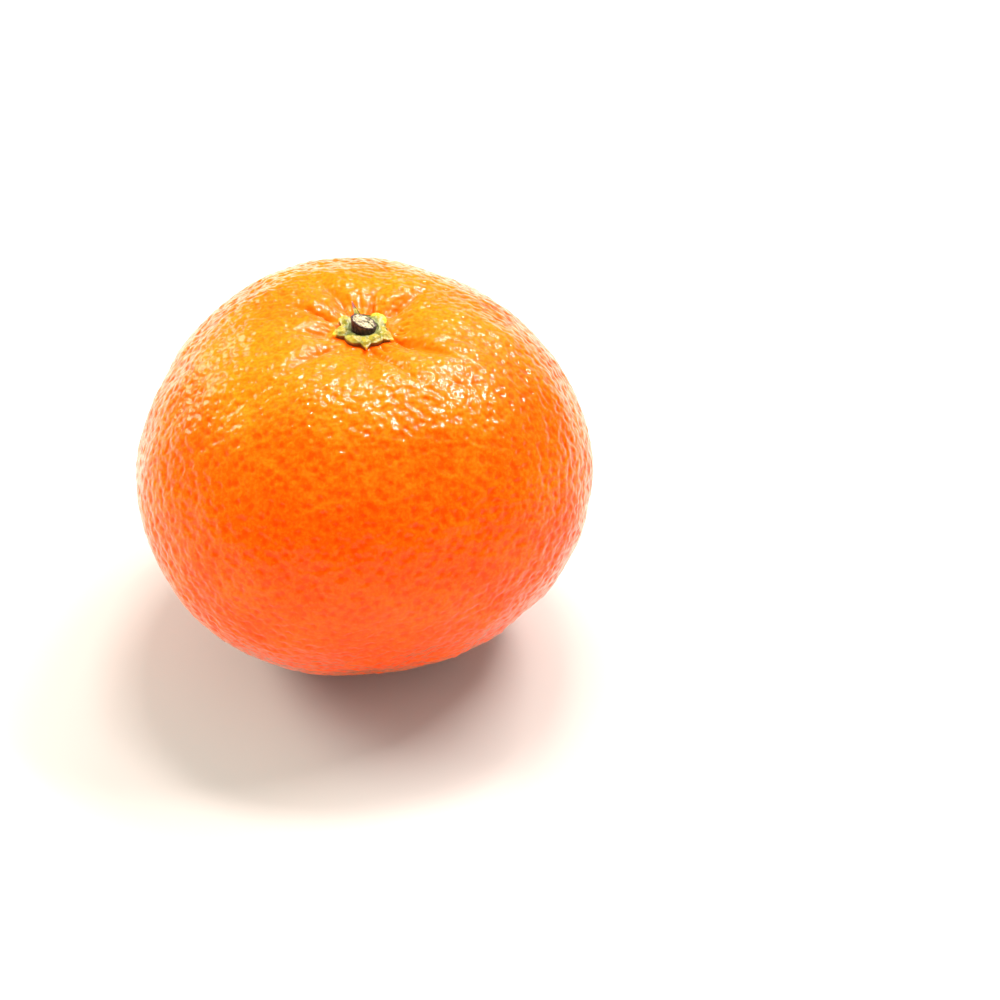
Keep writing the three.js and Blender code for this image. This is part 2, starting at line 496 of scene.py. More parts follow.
@dataclass(frozen=True)
class Puckers:
    """The short fine creases close round the calyx, each drawn at random between these bounds."""

    count: int = 36
    unevenness: float = 0.4
    starts: Bounds = (3.4, 4.4)
    lengths: Bounds = (2.4, 7.0)
    depths: Bounds = (0.18, 0.48)
    half_widths: Bounds = (0.28, 0.50)
    bends: Bounds = (-9, 9)
    seed: int = 5

    def creases(self) -> tuple[Crease, ...]:
        """Draws the creases, spread unevenly round the calyx.

        Returns:
            The creases.
        """
        rng = np.random.default_rng(self.seed)
        aside = rng.uniform(-self.unevenness, self.unevenness, self.count)
        azimuths = (np.arange(self.count) + aside) * 360 / self.count
        bounds = (self.starts, self.lengths, self.depths, self.half_widths, self.bends)
        starts, lengths, depths, half_widths, bends = (rng.uniform(*pair, self.count) for pair in bounds)
        rows = np.stack([azimuths, starts, starts + lengths, depths, half_widths, bends], axis=1)
        return tuple(Crease(*row) for row in rows.tolist())


PUCKERS = Puckers().creases()


@dataclass(frozen=True)
class RindForm:
    """The smooth form of the fruit round its own axis, with its height measured from the table.

    The dips are pairs of a depth and a reach. A swell has its height, its waves to a turn of azimuth and
    to a turn of the polar angle, and its two shifts. It fades in between the two sines of the polar angle
    in pole_fade. The net is closer inside the close zone, a pair of distances from the axis.
    """

    radius: float = 34.0
    stem_half: float = 27.1
    blossom_half: float = 29.8
    flattened: float = 0.4
    stem_across: float = 2.6
    stem_up: float = 1.86
    blossom_across: float = 2.2
    blossom_up: float = 1.9
    three_sided: float = 0.035
    facing: float = math.radians(-15)
    seat_radius: float = 3.0
    dips: tuple[tuple[float, float], ...] = ((1.2, 4.6), (1.4, 10.0))
    lean: tuple[float, float] = (0.55, 0.05)
    scar_radius: float = 2.2
    scar_depth: float = 0.8
    close_zone: Bounds = (12, 26)
    pole_fade: Bounds = (0.25, 0.8)
    swells: tuple[tuple[float, ...], ...] = (
        (0.22, 2, 2, 1.1, 0.4),
        (0.16, 5, 3, 0.6, 1.3),
        (0.10, 9, 2, 2.2, 0.2),
    )

    @property
    def equator(self) -> float:
        """The height of the equator above the table."""
        return self.blossom_half - self.flattened

    def bare_radius(self, polar: Array) -> Array:
        """Distance from the axis: the superellipse R·sin(polar)^(2/n), with its own n in each half."""
        across = np.where(polar < math.pi / 2, self.stem_across, self.blossom_across)
        return self.radius * np.sin(polar) ** (2 / across)

    def dip(self, radius: Array) -> Array:
        """The hollow at the stem end: two bells, one inside the other, that start at the calyx seat."""
        out = np.maximum(0, radius - self.seat_radius)
        return sum(depth * np.exp(-((out / reach) ** 2)) for depth, reach in self.dips)

    def bare_height(self, polar: Array) -> Array:
        """Height above the table: the superellipse H·cos(polar)^(2/m), less the dip, and never below 0.

        Args:
            polar: Angles from the stem end.

        Returns:
            Heights, before any crease.
        """
        stem_side = polar < math.pi / 2
        up = np.where(stem_side, self.stem_up, self.blossom_up)
        lift = np.abs(np.cos(polar)) ** (2 / up)
        radius = self.bare_radius(polar)
        above = self.equator + self.stem_half * lift - self.dip(radius)
        scar = self.scar_depth * (1 - smoothstep(radius, 0, self.scar_radius))
        below = np.maximum(0, self.equator - self.blossom_half * lift) + scar
        return np.where(stem_side, above, below)

    def polar_at(self, radius: Array) -> Array:
        """The polar angle on the stem side at a distance from the axis."""
        return np.arcsin(np.minimum(1, radius / self.radius) ** (self.stem_across / 2))

    def seat_height(self) -> float:
        """The height of the calyx seat."""
        return float(self.bare_height(self.polar_at(np.array(self.seat_radius))))

    def swell(self, polar: Array, azimuth: Array) -> Array:
        """The broad unevenness: sums of sin(k·azimuth)·sin(l·polar), faded out at the poles.

        Args:
            polar: Angles from the stem end.
            azimuth: Angles round the axis.

        Returns:
            How far the rind stands out.
        """
        fade = smoothstep(np.sin(polar), *self.pole_fade)
        return fade * sum(
            height * np.sin(around * azimuth + turn) * np.sin(lengthwise * polar + shift)
            for height, around, lengthwise, turn, shift in self.swells
        )

    def surface(self, polar: Array, azimuth: Array) -> Array:
        """Points of the rind, with its creases.

        Args:
            polar: Angles from the stem end, 0 to half a turn.
            azimuth: Angles round the axis.

        Returns:
            Points, one to a row, round the fruit's axis.
        """
        bare = self.bare_radius(polar)
        share = 1 + self.three_sided * np.cos(3 * (azimuth - self.facing))
        radius = bare * share + self.swell(polar, azimuth)
        creased = (polar < math.pi / 2) & (bare > self.seat_radius)
        height = self.bare_height(polar) - np.where(creased, crease_depth(bare, azimuth), 0)
        on_seat = (polar < math.pi / 2) & (bare <= self.seat_radius)
        height = np.where(on_seat, self.seat_height(), height)
        lean = np.maximum(0, np.cos(polar))
        x = radius * np.cos(azimuth) + self.lean[0] * lean
        y = radius * np.sin(azimuth) + self.lean[1] * lean
        return np.stack([x, y, height], axis=-1)

    def even_polar(self, share: Array, stem_closeness: float) -> Array:
        """The polar angle a given share of the way from pole to pole, measured along the meridian.

        Args:
            share: From 0 at the stem to 1 at the blossom end.
            stem_closeness: How much shorter the steps are round the stem, from 0 to 1.

        Returns:
            Polar angles.
        """
        polar = np.linspace(0, math.pi, MERIDIAN_POINTS)
        radius, height = self.bare_radius(polar), self.bare_height(polar)
        middle = (radius[1:] + radius[:-1]) / 2
        stem_side = polar[1:] < math.pi / 2
        near = np.where(stem_side, 1 - smoothstep(middle, *self.close_zone), 0)
        steps = np.hypot(np.diff(radius), np.diff(height)) / (1 - stem_closeness * near)
        length = np.concatenate([[0], np.cumsum(steps)])
        return np.interp(share, length / length[-1], polar)


def crease_depth(radius: Array, azimuth: Array) -> Array:
    """The depth of all the creases and puckers at a place."""
    return sum(crease.profile(radius, azimuth) for crease in (*CREASES, *PUCKERS))


def icosahedron() -> tuple[Array, Array]:
    """An icosahedron that stands on a corner: two poles, and two rings of five at heights of ±1/√5.

    Returns:
        The corners, at a distance of 1 from the middle, and the faces as rows of three corner numbers.
    """
    fifth = np.arange(5) * TURN / 5
    ring, level = 2 / math.sqrt(5), 1 / math.sqrt(5)
    upper = np.stack([ring * np.cos(fifth), ring * np.sin(fifth), np.full(5, level)], axis=1)
    lower = -upper[[3, 4, 0, 1, 2]]
    corners = np.concatenate([[[0, 0, 1.0]], upper, lower, [[0, 0, -1.0]]])
    k, after = np.arange(5), (np.arange(5) + 1) % 5
    faces = [
        np.stack([np.zeros(5, int), 1 + k, 1 + after], axis=1),
        np.stack([1 + k, 6 + k, 1 + after], axis=1),
        np.stack([1 + after, 6 + k, 6 + after], axis=1),
        np.stack([np.full(5, 11), 6 + after, 6 + k], axis=1),
    ]
    return corners, np.concatenate(faces)


def geodesic_net(cuts: int) -> tuple[Array, Array]:
    """An even net of triangles on the unit sphere.

    Each face of an icosahedron carries the lattice of points (i·A + j·B + (n - i - j)·C) / n of its
    corners. Every point is pushed out to the sphere, and the points that two faces share are merged.

    Args:
        cuts: Into how many parts each side is cut, n.

    Returns:
        Unit directions, and triangles that face out.
    """
    corners, sides = icosahedron()
    i, j = (g.ravel() for g in np.meshgrid(np.arange(cuts + 1), np.arange(cuts + 1), indexing="ij"))
    inside = i + j <= cuts
    i, j = i[inside], j[inside]
    weights = np.stack([i, j, cuts - i - j], axis=1) / cuts
    number = np.full((cuts + 2, cuts + 2), -1)
    number[i, j] = np.arange(len(i))
    up = np.stack([number[i, j], number[i + 1, j], number[i, j + 1]], axis=1)
    down = np.stack([number[i + 1, j], number[i + 1, j + 1], number[i, j + 1]], axis=1)
    patch = np.concatenate([up[(up >= 0).all(axis=1)], down[(down >= 0).all(axis=1)]])
    points = np.concatenate([weights @ corners[side] for side in sides])
    triangles = np.concatenate([patch + len(weights) * n for n in range(len(sides))])
    points /= np.linalg.norm(points, axis=1, keepdims=True)
    places = np.round(points, MERGE_DIGITS)
    _, first, merged = np.unique(places, axis=0, return_index=True, return_inverse=True)
    return points[first], merged.ravel()[triangles]


@dataclass(frozen=True)
class OilGlands:
    """The sunken oil glands of the rind: where they are, how wide and how deep.

    The evenness holds the two powers of the beta distribution that their widths are drawn from.
    """

    count: int = 3600
    jitter: float = 0.6
    narrow: float = 0.42
    wide: float = 0.68
    depth: float = 0.20
    evenness: tuple[float, float] = (2.2, 2.0)
    pole_guard: float = 0.05
    seed: int = 7

    def directions(self) -> Array:
        """A seeded, jittered golden spiral from pole to pole, whose jitter is held back at the poles.

        Returns:
            The share of the way from pole to pole, and the azimuth, one gland to a row.
        """
        rng = np.random.default_rng(self.seed)
        step = np.arange(self.count) + 0.5
        polar = np.arccos(1 - 2 * step / self.count)
        azimuth = step * math.pi * (3 - math.sqrt(5))
        spacing = math.sqrt(4 * math.pi / self.count)
        polar += rng.normal(0, self.jitter * spacing / 2, self.count)
        aside = rng.normal(0, self.jitter * spacing / 2, self.count)
        azimuth += aside / np.maximum(self.pole_guard, np.sin(polar))
        return np.stack([np.clip(polar / math.pi, 0, 1), azimuth], axis=1)

    def sizes(self) -> Array:
        """The radius of each gland, between narrow and wide: most are middling."""
        rng = np.random.default_rng(self.seed + 1)
        return self.narrow + (self.wide - self.narrow) * rng.beta(*self.evenness, self.count)


@dataclass(frozen=True)
class RindFinish(Finish):
    """Glossy waxy peel: deep orange low down, yellower round the stem, redder in its glands and darker in
    its creases.

    The yellowing round the stem is partly the peel's ripening and partly painted light on the top. The
    creases' darker orange is painted shade. A zone is a pair of heights above the table, in metres, between
    which the peel changes. A cloudy noise times the drift is added to the height before the zone of
    ripening and painted top light is read. The glands' strengths are how much they show low down, how
    much high up, and the share that is left at the foot. Their edge is where their colour starts and
    where it is full, in radii from the middle.
    """

    low: Colour = (0.94, 0.073, 0.0003)
    # The upper orange is partly the ripened peel and partly painted light on the top.
    high: Colour = (0.97, 0.124, 0.0016)
    gland: Colour = (0.92, 0.040, 0.0002)
    # Painted shade: a darker orange laid into the creases, where shade falls.
    crease: Colour = (0.93, 0.092, 0.0005)
    pale: Colour = (0.98, 0.165, 0.0040)
    scar: Colour = (0.42, 0.17, 0.04)
    # Heights where the peel turns to the upper orange: ripening and painted top light.
    ripening_and_top_light_zone: Bounds = (0.0555, 0.0640)
    ripening_and_top_light_drift: float = 0.016
    blotch_strength: float = 0.3
    light_speckle: float = 0.25
    dark_speckle: float = 0.5
    gland_zone: Bounds = (0.012, 0.034)
    gland_strengths: tuple[float, float, float] = (0.62, 0.16, 0.45)
    gland_edge: Bounds = (1.4, 0.4)
    crease_shade_strength: float = 0.8
    grain_zone: Bounds = (0.044, 0.052)
    grain_gain: float = 1.25
    grain_depth: float = 0.18
    cell_share: float = 0.3

    def colour(self, board: Board) -> Socket:
        """The peel's colour: two oranges, the upper one partly painted top light, with pale blotches and
        fine speckles, its glands, and painted shade in its creases.

        Args:
            board: The material's board.

        Returns:
            The colour's socket.
        """
        cloud = board.noise(size=14.0, detail=3.0)
        # Yellower towards the stem: partly ripening, partly painted light on the top.
        drifting = board.math("MULTIPLY_ADD", cloud, self.ripening_and_top_light_drift, board.height())
        upper = board.spread(drifting, *self.ripening_and_top_light_zone)
        colour = board.blend(upper, self.low, self.high)
        blotch = board.spread(board.noise(size=7.0, detail=3.0), 0.42, 0.68)
        colour = board.blend(board.math("MULTIPLY", blotch, self.blotch_strength), colour, self.pale)
        speckle = board.noise(size=0.5, detail=1.0)
        colour = board.blend(board.spread(speckle, 0.46, 0.62, end=self.light_speckle), colour, self.pale)
        colour = board.blend(board.spread(speckle, 0.52, 0.38, end=self.dark_speckle), colour, self.low)
        low_gland, high_gland, foot_share = self.gland_strengths
        strength = board.spread(upper, 0.0, 1.0, start=low_gland, end=high_gland)
        towards_foot = board.spread(board.height(), *self.gland_zone, start=foot_share)
        strength = board.math("MULTIPLY", strength, towards_foot)
        gland = board.math("MULTIPLY", board.spread(board.mask("gland"), *self.gland_edge), strength)
        colour = board.blend(gland, colour, self.gland)
        # Painted shade: the creases darken with their depth.
        crease = board.math("MULTIPLY", board.mask("crease"), self.crease_shade_strength)
        colour = board.blend(crease, colour, self.crease)
        return board.blend(board.mask("scar"), colour, self.scar)

    def grain(self, board: Board) -> Socket:
        """The peel's finest relief: cells and soft noise, a little stronger round the stem.

        Args:
            board: The material's board.

        Returns:
            The bumped normal.
        """
        smooth = board.noise(size=0.85, detail=0.0)
        fine = board.math("MULTIPLY_ADD", board.cells(1.2), self.cell_share, smooth)
        gain = board.spread(board.height(), *self.grain_zone, start=1.0, end=self.grain_gain)
        fine = board.math("MULTIPLY", fine, gain)
        return board.bump(fine, self.grain_depth)

    def material(self) -> bpy.types.Material:
        """Wires the peel's material.

        Returns:
            The material, on Object coordinates and the masks gland, crease and scar.
        """
        board = Board("peel")
        grain = self.grain(board)
        return board.finish(
            Base_Color=self.colour(board),
            Roughness=board.spread(board.noise(size=1.6), 0.35, 0.65, start=0.32, end=0.44),
            IOR=1.25,
            Specular_IOR_Level=0.3,
            Specular_Tint=(1.0, 0.60, 0.15),
            Subsurface_Weight=0.12,
            Subsurface_Radius=(1.0, 0.25, 0.06),
            Subsurface_Scale=0.0012,
            Coat_Weight=1.0,
            Coat_Roughness=0.04,
            Coat_IOR=1.24,
            Sheen_Weight=0.2,
            Sheen_Roughness=0.25,
            Sheen_Tint=(1.0, 0.72, 0.25),
            Normal=grain,
            Coat_Normal=grain,
        )


@dataclass
class Fruit(Piece):
    """The fruit: one closed skin whose every gland is a real pit.

    A zone is a pair of distances from the fruit's axis, between which the relief or a mask changes.
    """

    node: ClassVar[str] = "fruit"
    slot: ClassVar[Slot] = Slot.RIND
    form: RindForm
    axis: Array
    glands: OilGlands = field(default_factory=OilGlands)
    finish: RindFinish = field(default_factory=RindFinish)
    cuts: int = 99
    stem_closeness: float = 0.5
    slow_wave: float = 0.10
    slow_length: float = 8.5
    quick_wave: float = 0.030
    quick_length: float = 1.8
    waves: int = 24
    seat_relief: float = 0.35
    stem_relief: float = 0.6
    seat_zone: Bounds = (2.5, 5.5)
    scar_rim_zone: Bounds = (2.5, 5.0)
    stem_zone: Bounds = (10.0, 26.0)
    scar_zone: Bounds = (0.8, 2.0)
    full_crease: float = 0.9
    far_from_gland: float = 4.0

    def gland_reach(self, base: Array) -> Array:
        """How far each point is from the lowest point of its nearest gland, in radii of that gland.

        Args:
            base: Points of the smooth form. Each gland moves to the nearest of them.

        Returns:
            Distances, below 1 inside a gland.
        """
        asked = self.glands.directions()
        sites = self.form.surface(self.form.even_polar(asked[:, 0], 0.0), asked[:, 1])
        seats = np.unique(nearest(sites, base, chunk=100)[0])
        owner, distance = nearest(base, base[seats])
        return distance / self.glands.sizes()[owner]

    def relief(self, base: Array, bare: Array, stem_side: Array, reach: Array) -> Array:
        """How far the rind stands out of the smooth form: slow and quick ripples, less the glands.

        A gland is a bell, depth·exp(-reach²). The glands are shallower round the stem and the scar, and
        the ripples fade out there.

        Args:
            base: Points of the smooth form.
            bare: Their distances from the fruit's axis.
            stem_side: Whether each is above the equator.
            reach: How far each is from its gland, in radii of that gland.

        Returns:
            Distances along the normals.
        """
        calm = np.where(stem_side, smoothstep(bare, *self.seat_zone), smoothstep(bare, *self.scar_rim_zone))
        deep = self.stem_relief + (1 - self.stem_relief) * smoothstep(bare, *self.stem_zone)
        deep = np.where(stem_side, deep, 1.0) * (self.seat_relief + (1 - self.seat_relief) * calm)
        ripples = self.slow_wave * ripple(base, self.slow_length, self.waves, seed=11)
        ripples += self.quick_wave * ripple(base, self.quick_length, self.waves, seed=12)
        return calm * ripples - self.glands.depth * deep * np.exp(-(reach**2))

    def skin(self) -> Skin:
        """The rind: the smooth form, moved along its normals by its relief, and never below the table.

        Returns:
            The closed skin, with the masks gland, crease and scar. The mask gland is how far a point is
            from its gland, in radii of that gland.
        """
        ways, triangles = geodesic_net(self.cuts)
        share = np.arccos(np.clip(ways[:, 2], -1, 1)) / math.pi
        azimuth = np.arctan2(ways[:, 1], ways[:, 0])
        polar = self.form.even_polar(share, self.stem_closeness)
        base, bare = self.form.surface(polar, azimuth), self.form.bare_radius(polar)
        stem_side = polar < math.pi / 2
        reach = self.gland_reach(base)
        relief = self.relief(base, bare, stem_side, reach)
        points = base + point_normals(base, triangles) * relief[:, None]
        points[:, 2] = np.maximum(points[:, 2], 0.0)
        masks = {
            "gland": np.minimum(reach, self.far_from_gland),
            # The crease mask is used to paint shade into the creases.
            "crease": np.clip(crease_depth(bare, azimuth) / self.full_crease, 0, 1) * stem_side,
            "scar": np.where(stem_side, 0, 1 - smoothstep(bare, *self.scar_zone)),
        }
        return Skin(points + self.axis, triangles, masks=masks)


# ---- The calyx ----


@dataclass(frozen=True)
class Sepal:
    """A lobe of the calyx, with its azimuth and half angle in degrees.

    A roundness of 1 gives a pointed sepal and 2 a rounded lobe, and slimness draws its sides in. It has
    turned yellow as far back from its tip as ripened says.
    """

    azimuth: float
    reach: float
    half_angle: float
    rise: float
    roundness: float
    slimness: float
    ripened: float = 0.0

    def closeness(self, azimuth: Array) -> Array:
        """1 along the sepal's middle, falling to 0 at its sides: evenly on a pointed one."""
        beside = np.abs(turn_between(azimuth, math.radians(self.azimuth))) / math.radians(self.half_angle)
        return 1 - np.minimum(1, beside) ** self.roundness


# Azimuth, reach, half angle, rise, roundness, slimness and how far back each has ripened. The spur is
# the one thin tip that stands up.
SPUR = Sepal(107, 6.1, 10, 1.0, 1, 1.6)
SEPALS = (
    Sepal(-31, 5.1, 38, 0.0, 1, 1.7, 0.5),
    Sepal(-58, 4.1, 28, 0.0, 2, 0.8),
    Sepal(-85, 4.8, 27, 0.0, 1, 1.6, 0.15),
    Sepal(-118, 4.0, 30, 0.0, 2, 0.8),
    Sepal(-164, 4.8, 36, 0.0, 1, 1.7, 0.6),
    Sepal(148, 4.1, 22, 0.35, 2, 0.8, 0.25),
    SPUR,
    Sepal(44, 3.9, 30, 0.35, 2, 0.7, 0.9),
)


@dataclass(frozen=True)
class SepalFinish(Finish):
    """Green living tissue: grey-green at the collar, olive and yellow on the sepals, with painted shade
    underneath.
    """

    sepal: Colour = (0.28, 0.23, 0.014)
    green: Colour = (0.085, 0.105, 0.006)
    collar: Colour = (0.19, 0.21, 0.06)
    tip: Colour = (0.66, 0.34, 0.006)
    # Painted shade for the sepals' undersides and the lower half of their edges.
    shade: Colour = (0.060, 0.034, 0.005)
    withered: Colour = (0.12, 0.018, 0.010)
    dry: Colour = (0.45, 0.36, 0.24)
    relief_depth: float = 0.12

    def material(self) -> bpy.types.Material:
        """Wires the calyx's material.

        Returns:
            The material, on Object coordinates and the masks collar, rib, tip, under and spur.
        """
        board = Board("calyx_green")
        blotch = board.spread(board.noise(size=0.9, detail=3.0), 0.36, 0.60)
        colour = board.blend(blotch, self.sepal, self.green)
        uneven = board.spread(board.noise(size=0.5), 0.3, 0.6, start=0.3, end=0.9)
        rib = board.math("MULTIPLY", board.mask("rib"), uneven)
        colour = board.blend(rib, colour, self.sepal)
        colour = board.blend(board.mask("collar"), colour, self.collar)
        colour = board.blend(board.mask("tip"), colour, self.tip)
        # Painted shade on the undersides, by the mask under.
        colour = board.blend(board.mask("under"), colour, self.shade)
        colour = board.blend(board.spread(board.mask("spur"), 0.0, 1.0), colour, self.withered)
        colour = board.blend(board.spread(board.mask("spur"), 1.0, 2.0), colour, self.dry)
        cells = board.math("MULTIPLY", board.cells(0.5), 0.5)
        bumps = board.math("ADD", board.noise(size=0.4, detail=3.0), cells)
        return board.finish(
            Base_Color=colour,
            Roughness=board.spread(board.noise(size=0.8), 0.35, 0.65, start=0.30, end=0.5),
            Specular_IOR_Level=0.5,
            Subsurface_Weight=0.06,
            Subsurface_Radius=(0.5, 0.6, 0.1),
            Subsurface_Scale=0.0006,
            Normal=board.bump(bumps, self.relief_depth),
        )


@dataclass
class Calyx(Piece):
    """The calyx: a fleshy ring round the stalk that splays into sepals, which lie on the rind.

    The withering and drying of the spur are pairs of distances from the stalk's axis. A ripened tip is
    full yellow up to ripe_core of the way back, and from ripe_sides of the way in from its sides.
    """

    node: ClassVar[str] = "calyx"
    slot: ClassVar[Slot] = Slot.CALYX
    form: RindForm
    axis: Array
    finish: SepalFinish = field(default_factory=SepalFinish)
    around: int = 540
    foot_radius: float = 2.5
    stalk_seat_radius: float = 2.1
    stalk_seat_height: float = 0.6
    collar_radius: float = 2.3
    collar_height: float = 0.9
    collar_fade: float = 2.5
    shoulder_radius: float = 3.1
    shoulder_height: float = 0.9
    root_thickness: float = 0.82
    tip_thickness: float = 0.45
    thinned_radius: float = 5.0
    rib_height: float = 0.32
    cleft_depth: float = 0.22
    edge_bulge: float = 0.08
    clearance: float = 0.07
    roughness: float = 0.045
    ripe_core: float = 0.4
    ripe_sides: float = 0.4
    spur_withering: Bounds = (4.4, 5.0)
    spur_drying: Bounds = (5.6, 5.9)
    seat_rings: int = 5
    collar_rings: int = 8
    shoulder_rings: int = 8
    blade_rings: int = 30
    edge_rings: int = 7
    under_rings: int = 7

    def reach(self, azimuth: Array) -> Array:
        """How far the calyx reaches: its shoulder, or the sepal that grows there.

        Args:
            azimuth: Angles round the stalk.

        Returns:
            Distances from the stalk's axis.
        """
        reach = np.full_like(azimuth, self.shoulder_radius + 0.1)
        for sepal in SEPALS:
            blade = (sepal.reach - self.shoulder_radius) * sepal.closeness(azimuth) ** sepal.slimness
            reach = np.maximum(reach, self.shoulder_radius + blade)
        return reach

    def rise(self, azimuth: Array) -> Array:
        """How far the sepals' tips curl up."""
        return np.maximum.reduce([sepal.rise * sepal.closeness(azimuth) for sepal in SEPALS])

    def rib(self, azimuth: Array) -> Array:
        """1 along the middle of each sepal, falling to 0 in the clefts between them."""
        return np.maximum.reduce([sepal.closeness(azimuth) for sepal in SEPALS]) ** 2

    def underside(self, radius: Array, azimuth: Array) -> Array:
        """The height of a sepal's underside: a clearance over the rind, curling up to the tip.

        Args:
            radius: Distances from the stalk's axis.
            azimuth: Angles round it.

        Returns:
            Heights above the table.
        """
        rind = self.form.surface(self.form.polar_at(radius), azimuth)[..., 2]
        out = (radius - self.shoulder_radius) / (self.reach(azimuth) - self.shoulder_radius)
        curl = self.rise(azimuth) * np.maximum(0, out) ** 2
        return np.maximum(rind, self.form.seat_height()) + self.clearance + curl

    def thickness(self, radius: Array) -> Array:
        """Full at the ring, thin at a long sepal's point."""
        share = smoothstep(radius, self.shoulder_radius, self.thinned_radius)
        return self.root_thickness + (self.tip_thickness - self.root_thickness) * share

    def yellowed(self, radius: Array, azimuth: Array) -> Array:
        """How yellow the sepals are: 1 at a ripened tip, fading out towards its root and its sides.

        Args:
            radius: Distances from the stalk's axis.
            azimuth: Angles round it.

        Returns:
            Shares, from 0 to 1.
        """
        tips = [
            smoothstep(radius, sepal.reach - sepal.ripened, sepal.reach - self.ripe_core * sepal.ripened)
            * smoothstep(sepal.closeness(azimuth), 0.0, self.ripe_sides)
            for sepal in SEPALS
            if sepal.ripened
        ]
        return np.maximum.reduce(tips)

    def ring(
        self,
        stack: RingStack,
        radius: Array | float,
        height: Array | float,
        collar: float = 0.0,
        along: float = 0.0,
        under: float = 0.0,
    ) -> None:
        """Lays a ring with all its masks.

        Args:
            stack: The rings so far.
            radius: Its distances from the stalk's axis.
            height: Its heights above the table.
            collar: How much it belongs to the collar.
            along: How much it shows the sepals' ribs.
            under: How much it is underneath, where shade is painted.
        """
        azimuth = stack.azimuth
        radius = np.broadcast_to(radius, azimuth.shape)
        tip = self.yellowed(radius, azimuth)
        dried = smoothstep(radius, *self.spur_withering) + smoothstep(radius, *self.spur_drying)
        spur = dried * (SPUR.closeness(azimuth) > 0)
        rib = self.rib(azimuth) * along
        stack.lay(radius, height, collar=collar, rib=rib, tip=tip, under=under * (1 - tip), spur=spur)

    def lay_collar(self, stack: RingStack) -> None:
        """Lays the flat seat of the stalk, and the quarter round from it up to the collar's crest."""
        seat = self.form.seat_height() + self.stalk_seat_height
        for share in np.linspace(0.15, 1, self.seat_rings):
            self.ring(stack, self.stalk_seat_radius * share, seat, collar=1.0)
        widening = self.collar_radius - self.stalk_seat_radius
        rising = self.collar_height - self.stalk_seat_height
        for arc in math.pi / 2 * np.linspace(0.15, 1, self.collar_rings):
            radius = self.stalk_seat_radius + widening * (1 - math.cos(arc))
            self.ring(stack, radius, seat + rising * math.sin(arc), collar=1.0)

    def lay_shoulder(self, stack: RingStack) -> None:
        """Lays the way from the crest to the shoulder, where the ribs rise and the clefts sink in."""
        rib, seat = self.rib(stack.azimuth), self.form.seat_height()
        for share in np.linspace(0.1, 1, self.shoulder_rings):
            radius = self.collar_radius + (self.shoulder_radius - self.collar_radius) * share
            height = self.collar_height + (self.shoulder_height - self.collar_height) * share
            cleft = self.cleft_depth * (1 - rib) * share
            swelling = self.rib_height * rib * math.sin(math.pi / 2 * share)
            collar = max(0.0, 1 - self.collar_fade * share)
            self.ring(stack, radius, seat + height - cleft + swelling, collar, along=share)

    def lay_blades(self, stack: RingStack) -> None:
        """Lays the sepals' tops, which slope from the shoulder down to lie on the rind at their edge."""
        azimuth = stack.azimuth
        rib, reach = self.rib(azimuth), self.reach(azimuth)
        root = self.form.seat_height() + self.shoulder_height
        for share in np.linspace(0.03, 1, self.blade_rings):
            radius = self.shoulder_radius + (reach - self.shoulder_radius) * share
            edge = self.underside(radius, azimuth) + self.thickness(radius)
            sloped = min(1.0, 1.2 * smoothstep(share, 0, 1))
            height = np.maximum(edge, root + (edge - root) * sloped)
            swelling = self.rib_height * rib * (1 - share**2) - self.cleft_depth * (1 - rib) * (1 - share)
            self.ring(stack, radius, height + swelling, along=1.0)

    def lay_edge(self, stack: RingStack) -> None:
        """Lays the half round of the sepals' edge, from its top down to its underside."""
        azimuth = stack.azimuth
        reach = self.reach(azimuth)
        lower, thick = self.underside(reach, azimuth), self.thickness(reach)
        for turn in np.linspace(0.15, 1, self.edge_rings):
            angle = math.pi * turn
            swollen = reach + self.edge_bulge * math.sin(angle) * thick
            height = lower + thick * (1 + math.cos(angle)) / 2
            self.ring(stack, swollen, height, along=0.3, under=smoothstep(turn, 0.1, 0.5))

    def lay_underside(self, stack: RingStack) -> None:
        """Lays the way back under the sepals to the shoulder, and the foot that stands on the seat."""
        azimuth, seat = stack.azimuth, self.form.seat_height()
        for share in np.linspace(1, 0, self.under_rings + 1)[1:]:
            radius = self.shoulder_radius + (self.reach(azimuth) - self.shoulder_radius) * share
            self.ring(stack, radius, self.underside(radius, azimuth), under=1.0)
        for share in (1.0, 0.5):
            self.ring(stack, self.foot_radius * share, seat, under=1.0)

    def unevenness(self, stack: RingStack) -> Array:
        """The tissue's small bumps: a ripple that fades out underneath and on the stalk's seat.

        Args:
            stack: All the rings.

        Returns:
            How far each point goes up, by ring and azimuth.
        """
        points = stack.points()
        above = 1 - smoothstep(stack.mask("under"), 0.6, 1.0)
        from_stalk = np.linalg.norm(points[..., :2], axis=2)
        outside = smoothstep(from_stalk, self.stalk_seat_radius, self.collar_radius)
        bumps = ripple(points.reshape(-1, 3), wavelength=0.8, waves=16, seed=21).reshape(above.shape)
        return self.roughness * bumps * above * outside

    def skin(self) -> Skin:
        """The calyx as rings: over the collar, out along the sepals, round their edge and back beneath.

        Returns:
            The closed skin, with the masks collar, rib, tip, under and spur. The mask spur is 1 where
            the spur has withered, and 2 at its dry end.
        """
        stack = RingStack(self.around)
        for lay in (self.lay_collar, self.lay_shoulder, self.lay_blades, self.lay_edge, self.lay_underside):
            lay(stack)
        return stack.close(self.unevenness(stack), self.axis)


# ---- The stalk ----


